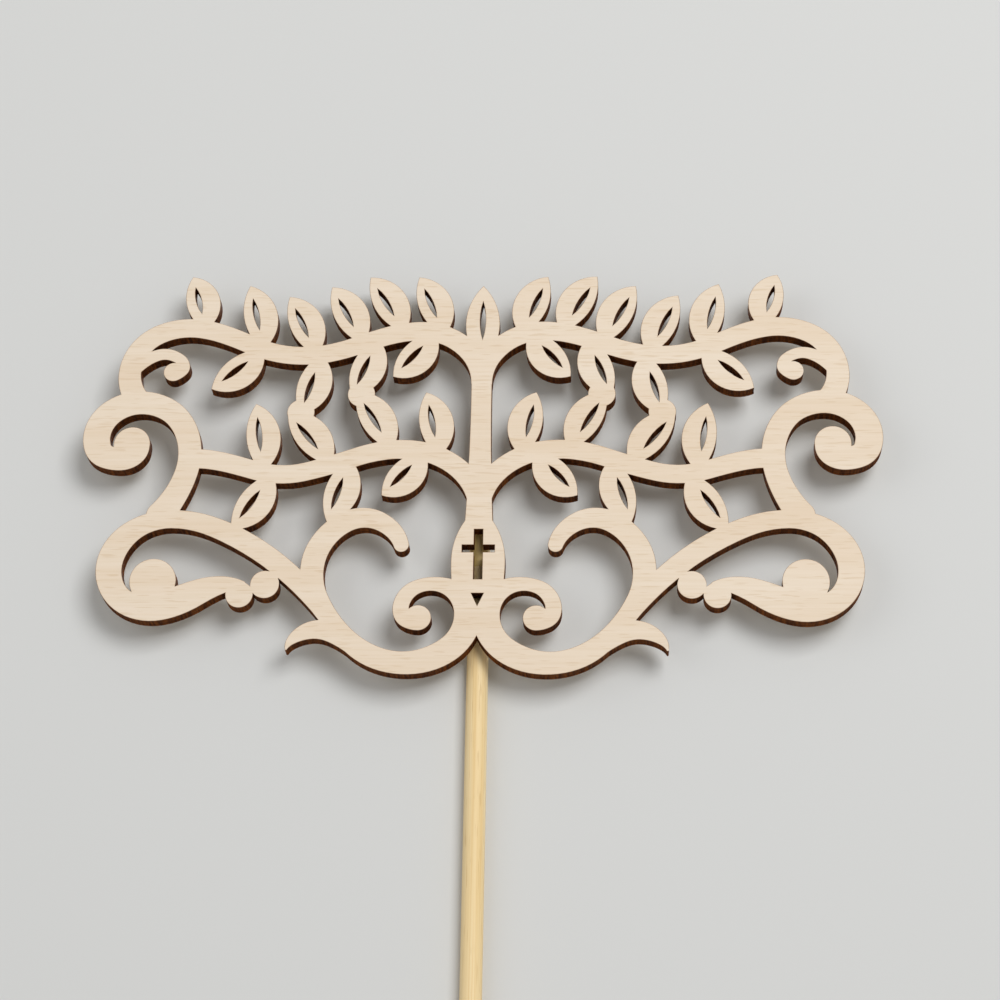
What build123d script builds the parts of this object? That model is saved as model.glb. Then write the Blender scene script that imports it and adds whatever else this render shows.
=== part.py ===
from build123d import *
import os

# Sizes in millimetres. X runs across the plate, Z runs up the stick, the front faces -Y.
# The origin is on the axis of the stick, level with the lowest edge of the plate.

# Plywood plate
PLATE_WIDTH = 150.0
PLATE_THICKNESS = 3.0

# Stick
STICK_DIAMETER = 4.0
STICK_LENGTH = 150.0
STICK_TOP_HEIGHT = 29.5
STICK_SANDED_DIAMETER = 3.8
POINT_LENGTH = 9.0
POINT_DIAMETER = 0.8

# Glue between the stick and the back of the plate
GLUE_FILM = 0.2
GLUE_WIDTH = 6.0
GLUE_RISE = 1.3
GLUE_LENGTH = 12.0
GLUE_TOP_GAP = 7.5

# Upper volutes at the two sides
VOLUTE_WIDTH = 5.3
VOLUTE_BALL_DIAMETER = 6.9

# Side scrolls below them, each with a ball, a tail and two berries
SIDE_WIDTH = 4.9
SIDE_BALL_DIAMETER = 8.7
LARGE_BERRY_DIAMETER = 5.4
SMALL_BERRY_DIAMETER = 5.1
BERRY_OVERLAP = 0.2

# The lyre: a heart-shaped arc, the bottom lobe and the inner curl in one stroke, and its horn
LYRE_WIDTH = 4.5
CURL_BALL_DIAMETER = 4.9
HORN_WIDTH = 4.3

# Pointed oval with its cross and drop
OVAL_WIDTH = 10.0
OVAL_FOOT_WIDTH = 7.8
OVAL_FOOT_HEIGHT = 12.0
OVAL_MIDDLE_HEIGHT = 22.0
OVAL_TOP_HEIGHT = 32.8
CROSS_BAR = 1.65
CROSS_HEIGHT = 9.8
CROSS_ARM = 1.45
CROSS_SPAN = 6.05
CROSS_START_HEIGHT = 18.4
DROP_WIDTH = 2.3
DROP_HEIGHT = 2.5
DROP_TOP_HEIGHT = 15.7

# Leafy vine in two rows
VINE_WIDTH = 4.0
TENDRIL_WIDTH = 2.5
TENDRIL_BALL_DIAMETER = 3.8
BEAD_DIAMETER = 5.2
LEAF_LENGTH = 14.0
LEAF_WIDTH = 6.5
LEAF_SLIT_WIDTH = 1.1

# Places along each stroke of the right half: across and up as shares of the plate's width,
# then the stroke's width there as a share of its own named width.
VOLUTE_SHARES = [
    (0.396, 0.2065, 1.02), (0.374, 0.243, 0.86), (0.364, 0.2795, 0.83), (0.370, 0.319, 0.85),
    (0.394, 0.348, 0.86), (0.466, 0.3445, 0.96), (0.4825, 0.3105, 0.98), (0.4755, 0.2895, 0.93),
    (0.461, 0.2825, 0.88), (0.443, 0.2825, 0.86), (0.4295, 0.2885, 0.68), (0.4235, 0.2995, 0.50),
]
SIDE_SHARES = [
    (0.1855, 0.078, 0.70), (0.233, 0.1305, 0.82), (0.313, 0.184, 0.82), (0.350, 0.1975, 0.77),
    (0.414, 0.1945, 0.80), (0.443, 0.172, 0.95), (0.456, 0.1355, 1.00), (0.441, 0.0985, 0.94),
    (0.409, 0.0845, 1.00), (0.370, 0.0935, 1.16), (0.311, 0.1155, 0.66), (0.290, 0.115, 0.34),
]
LYRE_SHARES = [
    (0.095, 0.1675, 0.64), (0.108, 0.1885, 0.76), (0.141, 0.203, 0.89), (0.180, 0.1865, 0.95),
    (0.204, 0.1375, 0.98), (0.1752, 0.0652, 0.80), (0.134, 0.027, 0.94), (0.091, 0.015, 0.98),
    (0.046, 0.025, 1.08), (0.020, 0.0475, 1.10), (0.012, 0.083, 1.10), (0.028, 0.1078, 0.84),
    (0.059, 0.1163, 0.60), (0.087, 0.1025, 0.66), (0.0925, 0.0785, 0.68), (0.0722, 0.0665, 0.68),
]
HORN_SHARES = [
    (0.144, 0.0335, 0.94), (0.171, 0.0505, 0.88), (0.189, 0.057, 0.88), (0.220, 0.0485, 0.57),
    (0.232, 0.032, 0.10),
]
UPPER_VINE_SHARES = [
    (0.000, 0.385, 1.00), (0.014, 0.4245, 1.00), (0.056, 0.4525, 0.98), (0.120, 0.449, 0.96),
    (0.193, 0.4255, 0.94), (0.267, 0.4275, 0.94), (0.330, 0.4525, 0.96), (0.387, 0.4595, 0.98),
    (0.432, 0.4355, 1.02), (0.446, 0.3975, 1.08), (0.430, 0.358, 1.15),
]
LOWER_VINE_SHARES = [
    (0.000, 0.213, 1.00), (0.014, 0.2545, 1.00), (0.056, 0.2865, 0.98), (0.117, 0.293, 0.96),
    (0.187, 0.273, 0.94), (0.253, 0.261, 0.94), (0.313, 0.2755, 0.96), (0.364, 0.2815, 1.00),
]
TENDRIL_SHARES = [
    (0.445, 0.391, 1.00), (0.423, 0.418, 1.00), (0.395, 0.4235, 0.92), (0.377, 0.408, 0.86),
    (0.388, 0.3945, 0.80),
]
MIDDLE_STEM_SHARES = [(0.000, 0.1965, 1.30), (0.000, 0.3105, 1.00), (0.000, 0.4225, 1.00)]

# Where the side scroll's ball sits, and the beads that tie the two rows of the vine together
SIDE_BALL_SHARES = (0.4005, 0.120)
BEAD_SHARES = [(0.2265, 0.3445), (0.151, 0.369)]

# Where the arms cross the upright of the cross, as a share of its height
CROSS_ARM_SHARE = 0.612

# The berries: place of the large one along the side scroll as a share of it, and the way from there
# to the small one in degrees from straight across
BERRY_PLACE_SHARE = 0.150
BERRY_LEAN = -23

# Leaves: place along the vine as a share of it, lean from the vine in degrees, then the length as a
# share of the leaf length. Leaves that grow down lean by a negative angle.
UPPER_LEAVES = [
    (0.15, 46, 0.94), (0.24, 69, 0.96), (0.335, 82, 0.96), (0.44, 71, 0.96), (0.56, 57, 0.98),
    (0.70, 64, 0.82),
    (0.17, -62, 0.86), (0.30, -50, 0.90), (0.43, -66, 0.92), (0.56, -60, 0.90),
]
LOWER_LEAVES = [
    (0.225, 54, 0.95), (0.37, 64, 0.98), (0.56, 70, 0.98), (0.77, 70, 1.00),
    (0.27, -62, 0.84), (0.50, -54, 0.94), (0.74, -64, 0.94),
]
MIDDLE_LEAF = (0.95, 0, 1.15)

# Shares of a leaf: its width on the fuller side, and where its slit starts and ends
LEAF_FULL_SHARE = 0.62
EVEN_SHARE = 0.5
SLIT_START_SHARE = 0.30
SLIT_END_SHARE = 0.80

# Step along a stroke for the direction of its edges, as a share of it, and the sine of a bend that
# counts as straight
EDGE_STEP_SHARE = 0.001
STRAIGHT_SINE = 0.001


def at(across, up):
    """A place on the sheet from its shares of the plate's width."""
    return Vector(across * PLATE_WIDTH, up * PLATE_WIDTH)


def arc(start, end, ahead):
    """An arc that leaves start in the direction ahead, or a line where it is straight."""
    chord = (end - start).normalized()
    if abs(ahead.cross(chord).Z) < STRAIGHT_SINE:
        return Line(start, end)
    return TangentArc(start, end, tangent=ahead)


def two_arcs(start, ahead, end, onward):
    """Two arcs in one smooth line from start, leaving ahead, to end, arriving onward."""
    gap = end - start
    reach = gap.dot(ahead + onward)
    bend = 2 * (1 - ahead.dot(onward))
    arm = gap.dot(gap) / (reach + (reach * reach + bend * gap.dot(gap)) ** 0.5)
    middle = (start + end + (ahead - onward) * arm) / 2
    turned = (gap - (ahead + onward) * arm).normalized()
    return [arc(start, middle, ahead), arc(middle, end, turned)]


def edge_point(line, place, side):
    """The point on one edge of a stroke: its middle line carries the width as its third number."""
    spot = line @ place
    ahead = line % place
    across = Vector(-ahead.Y, ahead.X).normalized()
    return Vector(spot.X, spot.Y) + across * (side * spot.Z / 2)


def edge(line, places, side):
    """One edge of a stroke as a smooth chain of arcs."""
    points = [edge_point(line, place, side) for place in places]
    ways = []
    for place in places:
        before = edge_point(line, max(place - EDGE_STEP_SHARE, 0), side)
        after = edge_point(line, min(place + EDGE_STEP_SHARE, 1), side)
        ways.append((after - before).normalized())
    chain = []
    for i in range(len(points) - 1):
        chain += two_arcs(points[i], ways[i], points[i + 1], ways[i + 1])
    return points, chain


def middle_line(shares, width):
    """The middle line of a stroke, with the stroke's width as the third number of each place."""
    return Spline(*[at(across, up) + Vector(0, 0, share * width) for across, up, share in shares])


def stroke(shares, width):
    """A flat stroke with round ends along a smooth line, with its own width at each place."""
    line = middle_line(shares, width)
    spots = [at(across, up) + Vector(0, 0, share * width) for across, up, share in shares]
    places = [line.param_at_point(spot) for spot in spots]
    left, left_chain = edge(line, places, 1)
    right, right_chain = edge(line, places, -1)
    ends = []
    for i, way in ((0, -1), (-1, 1)):
        middle = (left[i] + right[i]) / 2
        across = left[i] - right[i]
        ends.append(ThreePointArc(left[i], middle + Vector(across.Y, -across.X) * (way / 2), right[i]))
    return make_face(left_chain + right_chain + ends)


def ball(centre, diameter):
    """A round disc."""
    return Pos(centre.X, centre.Y) * Circle(diameter / 2)


def end_ball(shares, width, diameter, side):
    """A round disc in the end of a stroke, against the inside of the stroke's edge on that side."""
    line = middle_line(shares, width)
    outer = edge_point(line, 1, side)
    inward = (edge_point(line, 1, -side) - outer).normalized()
    return ball(outer + inward * (diameter / 2), diameter)


def almond(base, tip, width, full_share):
    """A pointed oval from base to tip, with this share of its width on the left."""
    middle = (base + tip) / 2
    ahead = (tip - base).normalized()
    side = Vector(-ahead.Y, ahead.X) * width
    left = ThreePointArc(base, middle + side * full_share, tip)
    right = ThreePointArc(tip, middle - side * (1 - full_share), base)
    return make_face([left, right])


def leaves(shares, table):
    """The leaves of one vine and the slits in them."""
    line = middle_line(shares, VINE_WIDTH)
    blades = []
    slits = []
    for place, lean, length_share in table:
        spot = line @ place
        ahead = line % place
        base = Vector(spot.X, spot.Y)
        way = Vector(ahead.X, ahead.Y).normalized().rotate(Axis.Z, lean)
        along = way * (length_share * LEAF_LENGTH)
        full_share = EVEN_SHARE
        if lean > 0:
            full_share = LEAF_FULL_SHARE
        if lean < 0:
            full_share = 1 - LEAF_FULL_SHARE
        blades.append(almond(base, base + along, LEAF_WIDTH, full_share))
        slit_start = base + along * SLIT_START_SHARE
        slit_end = base + along * SLIT_END_SHARE
        slits.append(almond(slit_start, slit_end, LEAF_SLIT_WIDTH, EVEN_SHARE))
    return blades, slits


# Right half of the openwork. The large berry sits on the side scroll and the small one on it.
side_line = middle_line(SIDE_SHARES, SIDE_WIDTH)
berry_root = edge_point(side_line, BERRY_PLACE_SHARE, -1)
outward = (berry_root - edge_point(side_line, BERRY_PLACE_SHARE, 1)).normalized()
large_berry = berry_root + outward * (LARGE_BERRY_DIAMETER / 2 - BERRY_OVERLAP)
berry_step = (LARGE_BERRY_DIAMETER + SMALL_BERRY_DIAMETER) / 2 - BERRY_OVERLAP
small_berry = large_berry + Vector(berry_step, 0).rotate(Axis.Z, BERRY_LEAN)
upper_blades, upper_slits = leaves(UPPER_VINE_SHARES, UPPER_LEAVES)
lower_blades, lower_slits = leaves(LOWER_VINE_SHARES, LOWER_LEAVES)
scrolls = [
    stroke(VOLUTE_SHARES, VOLUTE_WIDTH), end_ball(VOLUTE_SHARES, VOLUTE_WIDTH, VOLUTE_BALL_DIAMETER, 1),
    stroke(SIDE_SHARES, SIDE_WIDTH), ball(at(*SIDE_BALL_SHARES), SIDE_BALL_DIAMETER),
    stroke(LYRE_SHARES, LYRE_WIDTH), end_ball(LYRE_SHARES, LYRE_WIDTH, CURL_BALL_DIAMETER, 1),
    stroke(HORN_SHARES, HORN_WIDTH),
    ball(large_berry, LARGE_BERRY_DIAMETER), ball(small_berry, SMALL_BERRY_DIAMETER),
    stroke(TENDRIL_SHARES, TENDRIL_WIDTH),
    end_ball(TENDRIL_SHARES, TENDRIL_WIDTH, TENDRIL_BALL_DIAMETER, -1),
    stroke(UPPER_VINE_SHARES, VINE_WIDTH), stroke(LOWER_VINE_SHARES, VINE_WIDTH),
]
beads = [ball(at(*place), BEAD_DIAMETER) for place in BEAD_SHARES]
half = Sketch() + scrolls + beads + upper_blades + lower_blades

# Middle: pointed oval, stem and top leaf. The sides of the oval are upright at its middle height.
half_foot = OVAL_FOOT_WIDTH / 2
oval_edges = [Line((-half_foot, OVAL_FOOT_HEIGHT), (half_foot, OVAL_FOOT_HEIGHT))]
for side in (-1, 1):
    waist = (side * OVAL_WIDTH / 2, OVAL_MIDDLE_HEIGHT)
    oval_edges.append(TangentArc(waist, (0, OVAL_TOP_HEIGHT), tangent=(0, 1)))
    oval_edges.append(TangentArc(waist, (side * half_foot, OVAL_FOOT_HEIGHT), tangent=(0, -1)))
oval = make_face(oval_edges)
middle_blades, middle_slits = leaves(MIDDLE_STEM_SHARES, [MIDDLE_LEAF])
middle = Sketch() + [oval, stroke(MIDDLE_STEM_SHARES, VINE_WIDTH)] + middle_blades

# Cut-outs: the leaf slits, the cross and the drop under it
side_slits = upper_slits + lower_slits
cuts = middle_slits + side_slits + [mirror(slit, about=Plane.YZ) for slit in side_slits]
cuts.append(Pos(0, CROSS_START_HEIGHT + CROSS_HEIGHT / 2) * Rectangle(CROSS_BAR, CROSS_HEIGHT))
arm_height = CROSS_START_HEIGHT + CROSS_ARM_SHARE * CROSS_HEIGHT
cuts.append(Pos(0, arm_height) * Rectangle(CROSS_SPAN, CROSS_ARM))
drop_left = (-DROP_WIDTH / 2, DROP_TOP_HEIGHT)
drop_right = (DROP_WIDTH / 2, DROP_TOP_HEIGHT)
drop_tip = (0, DROP_TOP_HEIGHT - DROP_HEIGHT)
cuts.append(make_face(Polyline(drop_left, drop_right, drop_tip, close=True)))

# Plate: the whole outline, cut through the sheet. Its back lies against the film of glue on the stick.
outline = half + mirror(half, about=Plane.YZ) + middle - cuts
back = -(STICK_DIAMETER / 2 + GLUE_FILM)
plate = Pos(0, back, 0) * extrude(Plane.XZ * outline, amount=PLATE_THICKNESS)

# Stick: a point, the round length that goes into the cake, and the end that is sanded for the glue
stick_foot = STICK_TOP_HEIGHT - STICK_LENGTH
stick_half = make_face(Plane.XZ * Polyline(
    (0, stick_foot), (POINT_DIAMETER / 2, stick_foot), (STICK_DIAMETER / 2, stick_foot + POINT_LENGTH),
    (STICK_DIAMETER / 2, 0), (STICK_SANDED_DIAMETER / 2, STICK_TOP_HEIGHT), (0, STICK_TOP_HEIGHT),
    close=True,
))
stick = revolve(stick_half, Axis.Z)

# Glue: a bead that fills the corners between the plate and the stick, below the arms of the cross
foot = GLUE_WIDTH / 2
rise = back + GLUE_RISE
cling = (STICK_DIAMETER ** 2 / 4 - rise ** 2) ** 0.5
bead = make_face([
    Line((-foot, back), (foot, back)), TangentArc((foot, back), (cling, rise), tangent=(-1, 0)),
    Line((cling, rise), (-cling, rise)), TangentArc((-foot, back), (-cling, rise), tangent=(1, 0)),
])
glue_foot = STICK_TOP_HEIGHT - GLUE_TOP_GAP - GLUE_LENGTH
glue_bead = Pos(0, 0, glue_foot) * extrude(bead, amount=GLUE_LENGTH) - stick

os.makedirs("parts", exist_ok=True)
export_step(plate, "parts/plate.step")
export_step(stick, "parts/stick.step")
export_step(glue_bead, "parts/glue_bead.step")
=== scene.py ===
import bpy
import numpy as np
from mathutils import Matrix, Vector


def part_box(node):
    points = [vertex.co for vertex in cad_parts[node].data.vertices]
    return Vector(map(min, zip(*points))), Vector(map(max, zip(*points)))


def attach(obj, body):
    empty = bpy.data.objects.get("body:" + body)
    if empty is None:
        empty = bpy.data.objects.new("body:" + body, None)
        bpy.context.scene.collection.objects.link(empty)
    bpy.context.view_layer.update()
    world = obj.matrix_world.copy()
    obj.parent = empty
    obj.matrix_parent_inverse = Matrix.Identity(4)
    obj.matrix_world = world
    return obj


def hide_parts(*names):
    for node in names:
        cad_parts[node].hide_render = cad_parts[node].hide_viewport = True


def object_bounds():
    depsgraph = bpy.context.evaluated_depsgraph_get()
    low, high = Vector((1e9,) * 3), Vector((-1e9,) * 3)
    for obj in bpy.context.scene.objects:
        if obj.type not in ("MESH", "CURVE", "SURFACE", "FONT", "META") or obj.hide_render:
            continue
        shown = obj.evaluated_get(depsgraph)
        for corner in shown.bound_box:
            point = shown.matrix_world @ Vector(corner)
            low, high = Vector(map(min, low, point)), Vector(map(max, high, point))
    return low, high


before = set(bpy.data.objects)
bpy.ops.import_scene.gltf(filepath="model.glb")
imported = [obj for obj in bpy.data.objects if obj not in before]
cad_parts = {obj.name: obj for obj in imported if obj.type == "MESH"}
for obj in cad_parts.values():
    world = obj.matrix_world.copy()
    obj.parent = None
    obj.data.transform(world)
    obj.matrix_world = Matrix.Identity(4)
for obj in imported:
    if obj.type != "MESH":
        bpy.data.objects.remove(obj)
cad_low, cad_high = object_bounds()

# Plate: a sheet of three birch plies, bonded crosswise, sanded and cut out by a laser.
# The faces stay pale. Every cut edge is charred brown, darkest at the two glue lines, and the beam
# leaves a thin tan fringe on the faces beside the cut.
MM = 0.001
PLY = 1.0 * MM
EDGE_ROUND = 0.10 * MM
EDGE_ROUND_RINGS = 4
FRINGE = 0.30 * MM
GLUE_LINE_DEPTH = 0.06 * MM
GLUE_LINE_HALF_WIDTH = 0.09 * MM
GLUE_LINE_SHARES = np.array([-1.6, -0.7, 0, 0.7, 1.6])
CORE_BURN = 0.03 * MM
CHAR_FROM_FACE = np.array([0, 0.25, 0.55])
SMOOTH_BELOW = np.radians(32)

# Limits for the fringe in the narrow strokes: how far a corner may stand out, the share of the room to
# the far side that may be used, and how small a triangle of the face may become. The last three are
# tolerances.
SHARPEST_CORNER = 1.6
LEAST_OPENING = 0.1
ROOM_SHARE = 0.4
LEAST_AREA_SHARE = 0.02
HALVINGS = 40
TOUCHING = 0.001 * MM
ON_THE_FACE = 0.01 * MM
PARALLEL = 1e-12


def node_arrays(name):
    """The corners and triangles of a CAD node, with the corners that are the same merged."""
    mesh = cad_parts[name].data
    corners = np.empty(len(mesh.vertices) * 3, np.float32)
    mesh.vertices.foreach_get("co", corners)
    mesh.calc_loop_triangles()
    triangles = np.empty(len(mesh.loop_triangles) * 3, np.int32)
    mesh.loop_triangles.foreach_get("vertices", triangles)
    corners, merged = np.unique(corners.reshape(-1, 3), axis=0, return_inverse=True)
    return corners.astype(float), merged.reshape(-1)[triangles].reshape(-1, 3)


def outline_of(triangles, count):
    """The edges that only one triangle uses, as start and end corners, with the sheet on their left."""
    edges = triangles[:, [0, 1, 1, 2, 2, 0]].reshape(-1, 2)
    lone = ~np.isin(edges[:, 0] * count + edges[:, 1], edges[:, 1] * count + edges[:, 0])
    return edges[lone]


def crossed(a, b):
    """The cross product of flat vectors."""
    return a[..., 0] * b[..., 1] - a[..., 1] * b[..., 0]


def room_inwards(spots, steps, inward):
    """How far each outline point p can go along its inward way m before it meets an edge q + s e:
    p + t m = q + s e gives t = (q - p) x e / m x e and s = (q - p) x m / m x e."""
    gap = spots[None, :, :] - spots[:, None, :]
    turn = crossed(inward[:, None, :], steps[None, :, :])
    turn[np.abs(turn) < PARALLEL] = PARALLEL
    along = crossed(gap, steps[None, :, :]) / turn
    share = crossed(gap, inward[:, None, :]) / turn
    met = (share >= 0) & (share <= 1) & (along > TOUCHING)
    return np.where(met, along, np.inf).min(axis=1)


def inset_share(spots, outward, caps, most):
    """The share of its way inwards that each outline point goes: all of it where there is room, and
    half as much again and again at the corners of a face triangle that would shrink to nothing."""
    share = np.minimum(1, most / FRINGE)
    flat = spots[caps]
    whole = crossed(flat[:, 1] - flat[:, 0], flat[:, 2] - flat[:, 0])
    for _ in range(HALVINGS):
        inset = (spots - outward * (FRINGE * share)[:, None])[caps]
        left = crossed(inset[:, 1] - inset[:, 0], inset[:, 2] - inset[:, 0])
        share[np.unique(caps[left < LEAST_AREA_SHARE * whole])] /= 2
    return share


def cut_edge_profile(thickness):
    """How far the cut edge stands back at each depth: a quarter round at both faces, a shallow groove
    exp(-(d / width)^2) at each glue line, and the core ply burnt back a little between them."""
    turn = np.linspace(0, np.pi / 2, EDGE_ROUND_RINGS)
    round_back = EDGE_ROUND * (1 - np.sin(turn))
    round_depth = EDGE_ROUND * (1 - np.cos(turn))
    lines = np.array([PLY, thickness - PLY])
    wall_depth = (lines[:, None] + GLUE_LINE_SHARES * GLUE_LINE_HALF_WIDTH).ravel()
    groove = np.exp(-((wall_depth[:, None] - lines) / GLUE_LINE_HALF_WIDTH) ** 2).sum(axis=1)
    core = (wall_depth > lines[0]) & (wall_depth < lines[1])
    wall_back = GLUE_LINE_DEPTH * groove + CORE_BURN * core
    back = np.concatenate([[FRINGE], round_back, wall_back, round_back[::-1], [FRINGE]])
    rear_depth = thickness - round_depth[::-1]
    depth = np.concatenate([[0], round_depth, wall_depth, rear_depth, [thickness]])
    return back, depth


def outward_ways(spots, following):
    """The way out of the sheet at each outline point: the sum of the right-hand normals a and b of the
    edges before and after it over 1 + a.b, which moves both edges by the same width, up to a limit."""
    before = np.empty(len(spots), int)
    before[following] = np.arange(len(spots))
    steps = spots[following] - spots
    ways = steps / np.linalg.norm(steps, axis=1, keepdims=True)
    right = np.stack([ways[:, 1], -ways[:, 0]], axis=1)
    opening = 1 + (right * right[before]).sum(axis=1, keepdims=True)
    outward = (right + right[before]) / np.maximum(opening, LEAST_OPENING)
    length = np.linalg.norm(outward, axis=1, keepdims=True)
    return outward * np.minimum(1, SHARPEST_CORNER / length)


def sheet_surface(name):
    """The sheet's two faces, and its edge profile carried along every outline of the CAD node. Each
    ring of the profile is the outline moved inwards by the ring's setback, at the ring's depth."""
    corners, triangles = node_arrays(name)
    front, rear = corners[:, 1].min(), corners[:, 1].max()
    face = triangles[(corners[triangles, 1] < front + ON_THE_FACE).all(axis=1)]
    rim = outline_of(face, len(corners))
    count = len(rim)
    here = np.arange(count)
    number = np.full(len(corners), -1)
    number[rim[:, 0]] = here
    following = number[rim[:, 1]]
    caps = number[face]
    spots = corners[rim[:, 0]][:, [0, 2]]
    outward = outward_ways(spots, following)
    inward = -outward / np.linalg.norm(outward, axis=1, keepdims=True)
    most = ROOM_SHARE * room_inwards(spots, spots[following] - spots, inward)
    back, depth = cut_edge_profile(rear - front)
    rings = len(back)
    moved = back[:, None] * inset_share(spots, outward, caps, most)
    points = np.empty((rings, count, 3))
    points[:, :, [0, 2]] = spots - outward * moved[:, :, None]
    points[:, :, 1] = (front + depth)[:, None]
    ring = np.arange(rings - 1)[:, None] * count
    upper = [ring + following, ring + here]
    lower = [ring + here + count, ring + following + count]
    walls = np.stack(upper + lower, axis=2)
    behind = caps[:, ::-1] + (rings - 1) * count
    faces = walls.reshape(-1, 4).tolist() + caps.tolist() + behind.tolist()
    wall_rings = np.ones(rings - 2 * len(CHAR_FROM_FACE))
    charred = np.concatenate([CHAR_FROM_FACE, wall_rings, CHAR_FROM_FACE[::-1]])
    return points.reshape(-1, 3), faces, np.repeat(charred, count)


def add_piece(name, points, faces):
    """A mesh object from an array of points and a list of faces, smooth but for its sharp edges."""
    mesh = bpy.data.meshes.new(name)
    mesh.from_pydata(points.tolist(), [], faces)
    mesh.polygons.foreach_set("use_smooth", np.ones(len(mesh.polygons), bool))
    mesh.set_sharp_from_angle(angle=SMOOTH_BELOW)
    piece = bpy.data.objects.new(name, mesh)
    bpy.context.scene.collection.objects.link(piece)
    return piece


points, faces, charred = sheet_surface("plate")
plate = add_piece("birch_plate", points, faces)
plate.data.attributes.new("charred", "FLOAT", "POINT").data.foreach_set("value", charred)


def paint(code):
    """The linear red, green, blue and alpha of an sRGB hex colour."""
    share = np.array([int(code[i:i + 2], 16) for i in (1, 3, 5)]) / 255
    linear = np.where(share <= 0.04045, share / 12.92, ((share + 0.055) / 1.055) ** 2.4)
    return (*linear.tolist(), 1.0)


def per_mm(x, y, z):
    """A mapping scale that makes one step of a pattern that many millimetres long on each axis."""
    return (1 / (x * MM), 1 / (y * MM), 1 / (z * MM))


def new_material(name):
    """A material with an empty node tree."""
    made = bpy.data.materials.new(name)
    made.use_nodes = True
    made.node_tree.nodes.clear()
    return made


def add(tree, kind, inputs=None, **settings):
    """One shader node with its settings. An input, by name or number, takes a value, a link to an
    output, or a link to the first live output of a node."""
    made = tree.nodes.new("ShaderNode" + kind)
    for name, value in settings.items():
        setattr(made, name, value)
    live = {socket.name: socket for socket in reversed(made.inputs) if socket.enabled}
    for name, value in (inputs or {}).items():
        entry = made.inputs[name] if isinstance(name, int) else live[name]
        if isinstance(value, bpy.types.Node):
            value = next(socket for socket in value.outputs if socket.enabled)
        if isinstance(value, bpy.types.NodeSocket):
            tree.links.new(value, entry)
        else:
            entry.default_value = value
    return made


# Birch veneer, knife cut and fine sanded: a creamy face with soft bands, hair-fine fibres along X and
# short vessel lines. The vessels are 0.05 mm wide in real birch and are drawn wider, so that they show.
BIRCH_SHADE = paint("#E7D4BD")
BIRCH_PALE = paint("#ECDDCA")
BIRCH_FIBRE = paint("#D9C3A2")
BIRCH_VESSEL = paint("#C7A87D")
BAND_MM = (80, 80, 7)
FIBRE_MM = (16, 16, 0.4)
VESSEL_MM = (3.4, 3.4, 0.26)
birch = new_material("birch_plywood_laser_cut")
tree = birch.node_tree
place = add(tree, "TexCoord").outputs["Object"]
band_place = add(tree, "Mapping", {"Vector": place, "Scale": per_mm(*BAND_MM)})
band = add(tree, "TexNoise", {"Vector": band_place, "Scale": 1.0, "Detail": 3.0})
band_share = add(tree, "MapRange", {"Value": band, "From Min": 0.34, "From Max": 0.66})
fibre_place = add(tree, "Mapping", {"Vector": place, "Scale": per_mm(*FIBRE_MM)})
fibre = add(tree, "TexNoise", {"Vector": fibre_place, "Scale": 1.0, "Detail": 3.0})
fibre_range = {"From Min": 0.40, "From Max": 0.75, "To Max": 0.30}
fibre_share = add(tree, "MapRange", {"Value": fibre, **fibre_range})
vessel_place = add(tree, "Mapping", {"Vector": place, "Scale": per_mm(*VESSEL_MM)})
vessel = add(tree, "TexNoise", {"Vector": vessel_place, "Scale": 1.0, "Detail": 0.0})
vessel_range = {"From Min": 0.66, "From Max": 0.76, "To Max": 0.26}
vessel_share = add(tree, "MapRange", {"Value": vessel, **vessel_range})
face = add(tree, "Mix", {"Factor": band_share, "A": BIRCH_SHADE, "B": BIRCH_PALE}, data_type="RGBA")
face = add(tree, "Mix", {"Factor": fibre_share, "A": face, "B": BIRCH_FIBRE}, data_type="RGBA")
face = add(tree, "Mix", {"Factor": vessel_share, "A": face, "B": BIRCH_VESSEL}, data_type="RGBA")

# The cut edge: char in fine streaks through the sheet, a dark line at each glue joint, and the tan
# fringe on the faces beside it
CHAR_DARK = paint("#46220A")
CHAR_PALE = paint("#7E4618")
CHAR_LINE = paint("#2E1506")
FRINGE_TAN = paint("#B88B58")
CHAR_ROUGHNESS = 0.82
STREAK_MM = (0.45, 5, 0.45)
streak_place = add(tree, "Mapping", {"Vector": place, "Scale": per_mm(*STREAK_MM)})
streak = add(tree, "TexNoise", {"Vector": streak_place, "Scale": 1.0, "Detail": 2.0})
streak_share = add(tree, "MapRange", {"Value": streak, "From Min": 0.35, "From Max": 0.70})
plate_low, plate_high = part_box("plate")
ply_count = (plate_high.y - plate_low.y) / PLY
depth = add(tree, "SeparateXYZ", {"Vector": place}).outputs["Y"]
through_plate = {"From Min": plate_low.y, "From Max": plate_high.y, "To Max": ply_count}
plies = add(tree, "MapRange", {"Value": depth, **through_plate})
to_line = add(tree, "Math", {0: plies, 1: 0.5}, operation="PINGPONG")
line_fade = {"From Min": 0.02, "From Max": 0.12, "To Min": 0.8, "To Max": 0.0}
line_share = add(tree, "MapRange", {"Value": to_line, **line_fade})
cut = add(tree, "Mix", {"Factor": streak_share, "A": CHAR_DARK, "B": CHAR_PALE}, data_type="RGBA")
cut = add(tree, "Mix", {"Factor": line_share, "A": cut, "B": CHAR_LINE}, data_type="RGBA")
char = add(tree, "Attribute", attribute_name="charred").outputs["Fac"]
fringe = add(tree, "MapRange", {"Value": char, "From Min": 0.12, "From Max": 0.50, "To Max": 0.45})
burnt = add(tree, "MapRange", {"Value": char, "From Min": 0.50, "From Max": 0.85})
colour = add(tree, "Mix", {"Factor": fringe, "A": face, "B": FRINGE_TAN}, data_type="RGBA")
colour = add(tree, "Mix", {"Factor": burnt, "A": colour, "B": cut}, data_type="RGBA")
rough = add(tree, "MapRange", {"Value": fibre, "To Min": 0.52, "To Max": 0.68})
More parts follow.
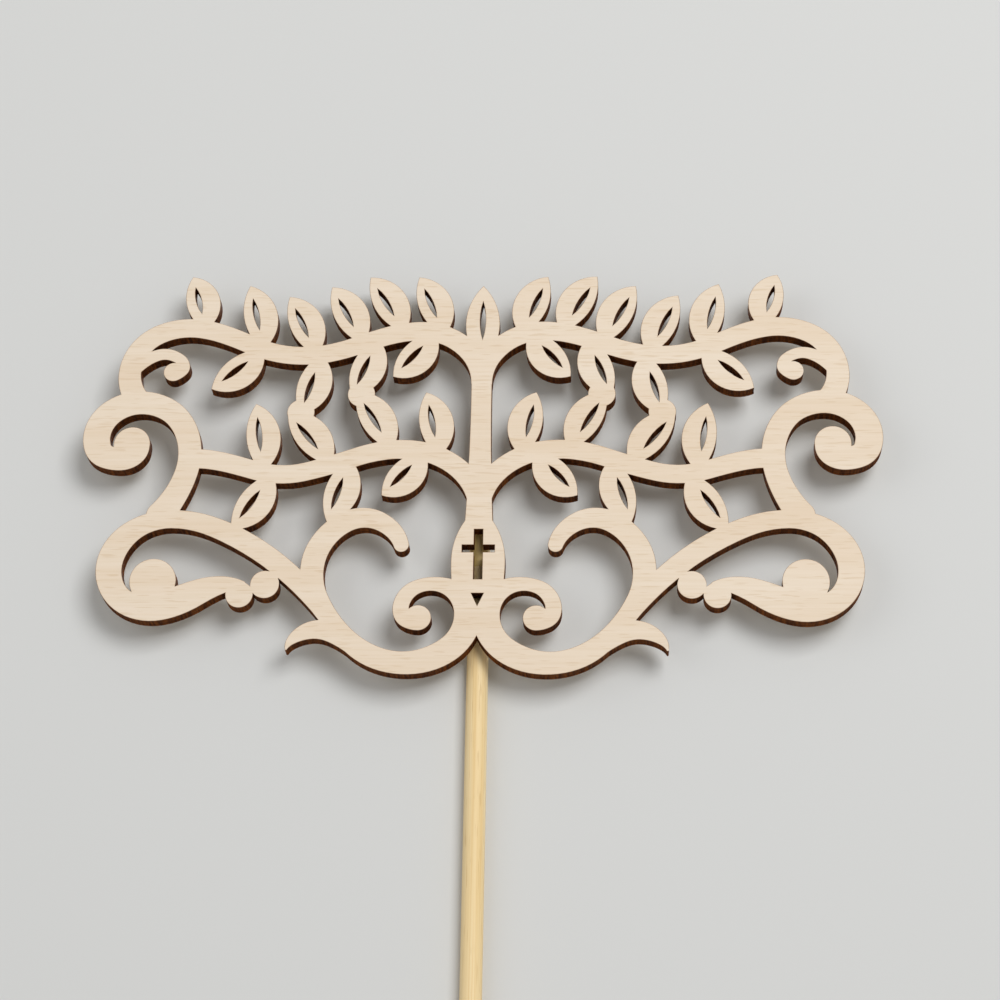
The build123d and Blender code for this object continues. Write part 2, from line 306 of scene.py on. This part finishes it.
rough = add(tree, "Mix", {"Factor": burnt, "A": rough, "B": CHAR_ROUGHNESS})
relief = add(tree, "Mix", {"Factor": burnt, "A": fibre, "B": streak})
bump = add(tree, "Bump", {"Height": relief, "Strength": 0.6, "Distance": 0.05 * MM})
surface = {"Base Color": colour, "Roughness": rough, "Normal": bump}
shader = add(tree, "BsdfPrincipled", {**surface, "IOR": 1.5, "Specular IOR Level": 0.08})
add(tree, "OutputMaterial", {"Surface": shader})
plate.data.materials.append(birch)
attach(plate, "root")
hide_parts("plate")

# Stick: a round bamboo skewer, planed from split cane, sharpened at its foot and sawn off at the top.
# Its fibres run from end to end and stand a hair proud of the softer cane between them.
STICK_RADIUS = 2.0 * MM
STICK_TOP_RADIUS = 1.9 * MM
TIP_RADIUS = 0.4 * MM
POINT = 9.0 * MM
POINT_RINGS = 24
SHAFT_RINGS = 60
GLUED_RINGS = 20
TOP_ROUND = 0.12 * MM
TOP_ROUND_RINGS = 4
ROUND_STEPS = 120
FIBRE_RELIEF = 0.03 * MM
COARSE_FIBRES = 17
COARSE_WANDER = 0.8
FINE_FIBRES = 41
FINE_WANDER = 1.1
FINE_WANDER_RATE = 1.7
WANDER_LENGTH = 30 * MM


def skin(rings, foot, top):
    """A closed skin over a stack of rings: four-sided faces between them, and a fan to a point at each
    end."""
    count, steps = rings.shape[:2]
    step = np.arange(steps)
    after = (step + 1) % steps
    start = np.arange(count - 1)[:, None] * steps
    sides = np.stack([start + step, start + after, start + after + steps, start + step + steps], axis=2)
    foot_number, top_number = count * steps, count * steps + 1
    last = (count - 1) * steps
    foot_fan = np.stack([np.full(steps, foot_number), after, step], axis=1)
    top_fan = np.stack([np.full(steps, top_number), last + step, last + after], axis=1)
    points = np.concatenate([rings.reshape(-1, 3), [foot, top]])
    return points, sides.reshape(-1, 4).tolist() + foot_fan.tolist() + top_fan.tolist()


def skewer_surface(low, high):
    """Radius by height: a cone, a straight length and a slight taper to the glued end, less grooves
    relief (2 - cos(n a + p) - cos(m a + q)) / 4 at the angle a, for n coarse and m fine fibres, where
    p and q wander slowly with the height."""
    length = high - low
    point = np.linspace(0, POINT, POINT_RINGS)
    shaft = np.linspace(POINT, -low, SHAFT_RINGS)[1:]
    glued = np.linspace(-low, length - TOP_ROUND, GLUED_RINGS)[1:]
    turn = np.linspace(0, np.pi / 2, TOP_ROUND_RINGS + 1)[1:]
    rise = np.concatenate([point, shaft, glued, length - TOP_ROUND * (1 - np.sin(turn))])
    radii = [TIP_RADIUS, STICK_RADIUS, STICK_RADIUS, STICK_TOP_RADIUS]
    radius = np.interp(rise, [0, POINT, -low, length], radii)
    radius[-TOP_ROUND_RINGS:] -= TOP_ROUND * (1 - np.cos(turn))
    angle = np.arange(ROUND_STEPS) * 2 * np.pi / ROUND_STEPS
    wander = rise[:, None] / WANDER_LENGTH
    coarse = np.cos(COARSE_FIBRES * angle + COARSE_WANDER * np.sin(wander))
    fine = np.cos(FINE_FIBRES * angle + FINE_WANDER * np.sin(FINE_WANDER_RATE * wander + 1))
    radius = radius[:, None] - FIBRE_RELIEF * (2 - (coarse + fine)) / 4
    rings = np.empty((len(rise), ROUND_STEPS, 3))
    rings[:, :, 0] = radius * np.cos(angle)
    rings[:, :, 1] = radius * np.sin(angle)
    rings[:, :, 2] = (low + rise)[:, None]
    return skin(rings, [0, 0, low], [0, 0, high])


stick_low, stick_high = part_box("stick")
stick = add_piece("bamboo_stick", *skewer_surface(stick_low.z, stick_high.z))

# Bamboo, planed: straw yellow, with fine brown fibre bundles 0.3 mm wide and slow changes of tone
CANE_SHADE = paint("#EDD098")
CANE_PALE = paint("#F5DFB0")
CANE_BUNDLE = paint("#E2BF83")
CANE_FLECK = paint("#B98E4E")
TONE_MM = (1.5, 1.5, 60)
BUNDLE_MM = (0.30, 0.30, 45)
FLECK_MM = (0.22, 0.22, 4)
bamboo = new_material("bamboo_planed")
tree = bamboo.node_tree
place = add(tree, "TexCoord").outputs["Object"]
tone_place = add(tree, "Mapping", {"Vector": place, "Scale": per_mm(*TONE_MM)})
tone = add(tree, "TexNoise", {"Vector": tone_place, "Scale": 1.0, "Detail": 2.0})
tone_share = add(tree, "MapRange", {"Value": tone, "From Min": 0.35, "From Max": 0.65})
bundle_place = add(tree, "Mapping", {"Vector": place, "Scale": per_mm(*BUNDLE_MM)})
bundle = add(tree, "TexNoise", {"Vector": bundle_place, "Scale": 1.0, "Detail": 2.0})
bundle_range = {"From Min": 0.50, "From Max": 0.72, "To Max": 0.60}
bundle_share = add(tree, "MapRange", {"Value": bundle, **bundle_range})
fleck_place = add(tree, "Mapping", {"Vector": place, "Scale": per_mm(*FLECK_MM)})
fleck = add(tree, "TexNoise", {"Vector": fleck_place, "Scale": 1.0, "Detail": 0.0})
fleck_range = {"From Min": 0.68, "From Max": 0.78, "To Max": 0.28}
fleck_share = add(tree, "MapRange", {"Value": fleck, **fleck_range})
cane = add(tree, "Mix", {"Factor": tone_share, "A": CANE_SHADE, "B": CANE_PALE}, data_type="RGBA")
cane = add(tree, "Mix", {"Factor": bundle_share, "A": cane, "B": CANE_BUNDLE}, data_type="RGBA")
cane = add(tree, "Mix", {"Factor": fleck_share, "A": cane, "B": CANE_FLECK}, data_type="RGBA")

# Painted shade: olive brown on the side of the stick pressed to the plate, from 8 mm up behind it
PAINTED_SHADE_CANE = paint("#A88F4E")
PAINTED_SHADE_SHARE = 0.85
pressed_side = {"From Min": -0.6 * MM, "From Max": -1.3 * MM}
shaded_height = {"From Min": 8 * MM, "From Max": 12 * MM, "To Max": PAINTED_SHADE_SHARE}
sides = add(tree, "SeparateXYZ", {"Vector": place}).outputs
pressed = add(tree, "MapRange", {"Value": sides["Y"], **pressed_side})
glued = add(tree, "MapRange", {"Value": sides["Z"], **shaded_height})
painted_shade = add(tree, "Math", {0: pressed, 1: glued}, operation="MULTIPLY")
# the painted shade is mixed into the cane's colour here
cane = add(tree, "Mix", {"Factor": painted_shade, "A": cane, "B": PAINTED_SHADE_CANE}, data_type="RGBA")
rough = add(tree, "MapRange", {"Value": bundle, "To Min": 0.50, "To Max": 0.66})
bump = add(tree, "Bump", {"Height": bundle, "Strength": 0.5, "Distance": 0.06 * MM})
surface = {"Base Color": cane, "Roughness": rough, "Normal": bump}
shader = add(tree, "BsdfPrincipled", {**surface, "IOR": 1.5})
add(tree, "OutputMaterial", {"Surface": shader})
stick.data.materials.append(bamboo)
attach(stick, "root")
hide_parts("stick")

# Glue: hot-melt glue laid along the back of the plate, with the stick pressed into it.
# It wells up along both sides of the stick in an uneven bead with rounded ends.
GLUE_SWELL = 0.14
GLUE_LONG_WAVE = 1.9 * MM
GLUE_SHORT_WAVE = 0.83 * MM
GLUE_SHORT_WAVE_SHARE = 0.6
GLUE_LEAN = 0.10
GLUE_LEAN_WAVE = 2.7 * MM
GLUE_END_ROUND = 2.2 * MM
GLUE_FIRST_STATION = 0.04
GLUE_STATIONS = 70
GLUE_STEPS = 72


def glue_surface(low, high):
    """Rings across the bead: flat on the plate, and as high as rise (1 - |x| / w)^1.5 over it.
    The half width w and the rise swell and shrink along the bead, one side leans in by turns, and both
    ends are rounded."""
    half_width, rise = (high.x - low.x) / 2, high.y - low.y
    station = np.linspace(GLUE_FIRST_STATION, 1 - GLUE_FIRST_STATION, GLUE_STATIONS)
    height = low.z + (1 - np.cos(station * np.pi)) / 2 * (high.z - low.z)
    to_end = np.minimum(height - low.z, high.z - height)
    ends = np.sqrt(1 - np.clip(1 - to_end / GLUE_END_ROUND, 0, 1) ** 2)
    short_wave = GLUE_SHORT_WAVE_SHARE * np.sin(height / GLUE_SHORT_WAVE + 2)
    wave = np.sin(height / GLUE_LONG_WAVE) + short_wave
    crest = 1 + GLUE_SHORT_WAVE_SHARE
    swell = (ends * (1 - GLUE_SWELL * (crest - wave) / (2 * crest)))[:, None]
    angle = np.arange(GLUE_STEPS) * 2 * np.pi / GLUE_STEPS
    lean_wave = (1 + np.sin(height / GLUE_LEAN_WAVE + 1))[:, None]
    lean = 1 - GLUE_LEAN * lean_wave * (np.cos(angle) > 0)
    over = np.clip(1 - np.abs(np.cos(angle)), 0, 1) ** 1.5 * (np.sin(angle) > 0)
    rings = np.empty((GLUE_STATIONS, GLUE_STEPS, 3))
    rings[:, :, 0] = half_width * swell * lean * np.cos(angle)
    rings[:, :, 1] = low.y + rise * swell * over
    rings[:, :, 2] = height[:, None]
    return skin(rings, [0, low.y, low.z], [0, low.y, high.z])


glue = add_piece("glue_line", *glue_surface(*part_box("glue_bead")))

# Hot-melt glue, set: milky and half clear, with a soft shine and faint clouds from the cooling
GLUE_SHADE = paint("#C8A964")
GLUE_PALE = paint("#DABF84")
CLOUD_MM = (1.2, 1.2, 2.5)
melt = new_material("hot_melt_glue")
tree = melt.node_tree
place = add(tree, "TexCoord").outputs["Object"]
cloud_place = add(tree, "Mapping", {"Vector": place, "Scale": per_mm(*CLOUD_MM)})
cloud = add(tree, "TexNoise", {"Vector": cloud_place, "Scale": 1.0, "Detail": 3.0})
milky = add(tree, "Mix", {"Factor": cloud, "A": GLUE_SHADE, "B": GLUE_PALE}, data_type="RGBA")
rough = add(tree, "MapRange", {"Value": cloud, "To Min": 0.22, "To Max": 0.42})
bump = add(tree, "Bump", {"Height": cloud, "Strength": 0.4, "Distance": 0.08 * MM})
surface = {"Base Color": milky, "Roughness": rough, "Normal": bump}
shader = add(tree, "BsdfPrincipled", {**surface, "IOR": 1.48, "Transmission Weight": 0.45})
add(tree, "OutputMaterial", {"Surface": shader})
glue.data.materials.append(melt)
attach(glue, "root")
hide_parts("glue_bead")

# Stage: a pale matt board that the topper lies on, front up, as in the photograph.
# It is clear when seen from behind, and the lamps shine through it on what the camera sees directly, so
# that the back of the topper is lit too.
BOARD_HALF = 3.0
BOARD_GAP = 0.02 * MM
BOARD_GREY = paint("#D6D7D6")
board_y = cad_high.y + BOARD_GAP
across, up = np.meshgrid([-BOARD_HALF, BOARD_HALF], [-BOARD_HALF, BOARD_HALF])
points = np.stack([across, np.full((2, 2), board_y), up], axis=2).reshape(-1, 3)
board = add_piece("board", points, [[0, 1, 3, 2]])
matt = new_material("matt_board")
tree = matt.node_tree
shader = add(tree, "BsdfPrincipled", {"Base Color": BOARD_GREY, "Roughness": 0.9})
behind = add(tree, "NewGeometry").outputs["Backfacing"]
path = add(tree, "LightPath").outputs
direct = add(tree, "Math", {0: path["Diffuse Depth"], 1: 0.5}, operation="LESS_THAN")
through = add(tree, "Math", {0: path["Is Shadow Ray"], 1: direct}, operation="MULTIPLY")
clear = add(tree, "Math", {0: behind, 1: through}, operation="MAXIMUM")
glass = add(tree, "BsdfTransparent")
mixed = add(tree, "MixShader", {0: clear, 1: shader, 2: glass})
add(tree, "OutputMaterial", {"Surface": mixed})
board.data.materials.append(matt)

# Light: a soft key lamp at the upper right, a weak fill at the left, a lamp behind for the back, and a
# pale room. Each lamp has its name, place, aim, size and power.
LAMPS = [
    ("key", (0.45, -1.00, 0.35), (0, 0, 0.03), 0.60, 8.3),
    ("fill", (-0.60, -0.60, 0.10), (0, 0, 0.03), 0.60, 1.0),
    ("rear", (0.0, 0.60, 0.50), (0, 0, 0.0), 0.50, 4.4),
]
ROOM_PALE = paint("#F4F2EF")
ROOM_STRENGTH = 0.42
for name, stand, aim, size, power in LAMPS:
    data = bpy.data.lights.new(name, "AREA")
    data.size = size
    data.energy = power
    lamp = bpy.data.objects.new(name, data)
    lamp.location = stand
    lamp.rotation_euler = (Vector(aim) - Vector(stand)).to_track_quat("-Z", "Y").to_euler()
    bpy.context.scene.collection.objects.link(lamp)
world = bpy.data.worlds.new("room")
bpy.context.scene.world = world
world.use_nodes = True
room = world.node_tree.nodes["Background"]
room.inputs["Color"].default_value = ROOM_PALE
room.inputs["Strength"].default_value = ROOM_STRENGTH

# Camera: in front of the plate and below it, a little to the right, as the photograph was taken.
# It turns left by its yaw, looks up by its rise and leans by its roll, all in degrees.
SENSOR = 36.0
LENS = 104.4
CAMERA_PLACE = (29.6 * MM, -506.4 * MM, -159.3 * MM)
CAMERA_YAW = 2.94
CAMERA_RISE = 21.06
CAMERA_ROLL = 1.03
camera_data = bpy.data.cameras.new("camera")
camera_data.sensor_width = SENSOR
camera_data.lens = LENS
camera = bpy.data.objects.new("camera", camera_data)
yaw = Matrix.Rotation(np.radians(CAMERA_YAW), 4, "Z")
pitch = Matrix.Rotation(np.radians(90 + CAMERA_RISE), 4, "X")
roll = Matrix.Rotation(np.radians(CAMERA_ROLL), 4, "Z")
camera.matrix_world = Matrix.Translation(CAMERA_PLACE) @ yaw @ pitch @ roll
bpy.context.scene.collection.objects.link(camera)
bpy.context.scene.camera = camera
bpy.context.scene.view_settings.view_transform = "Standard"
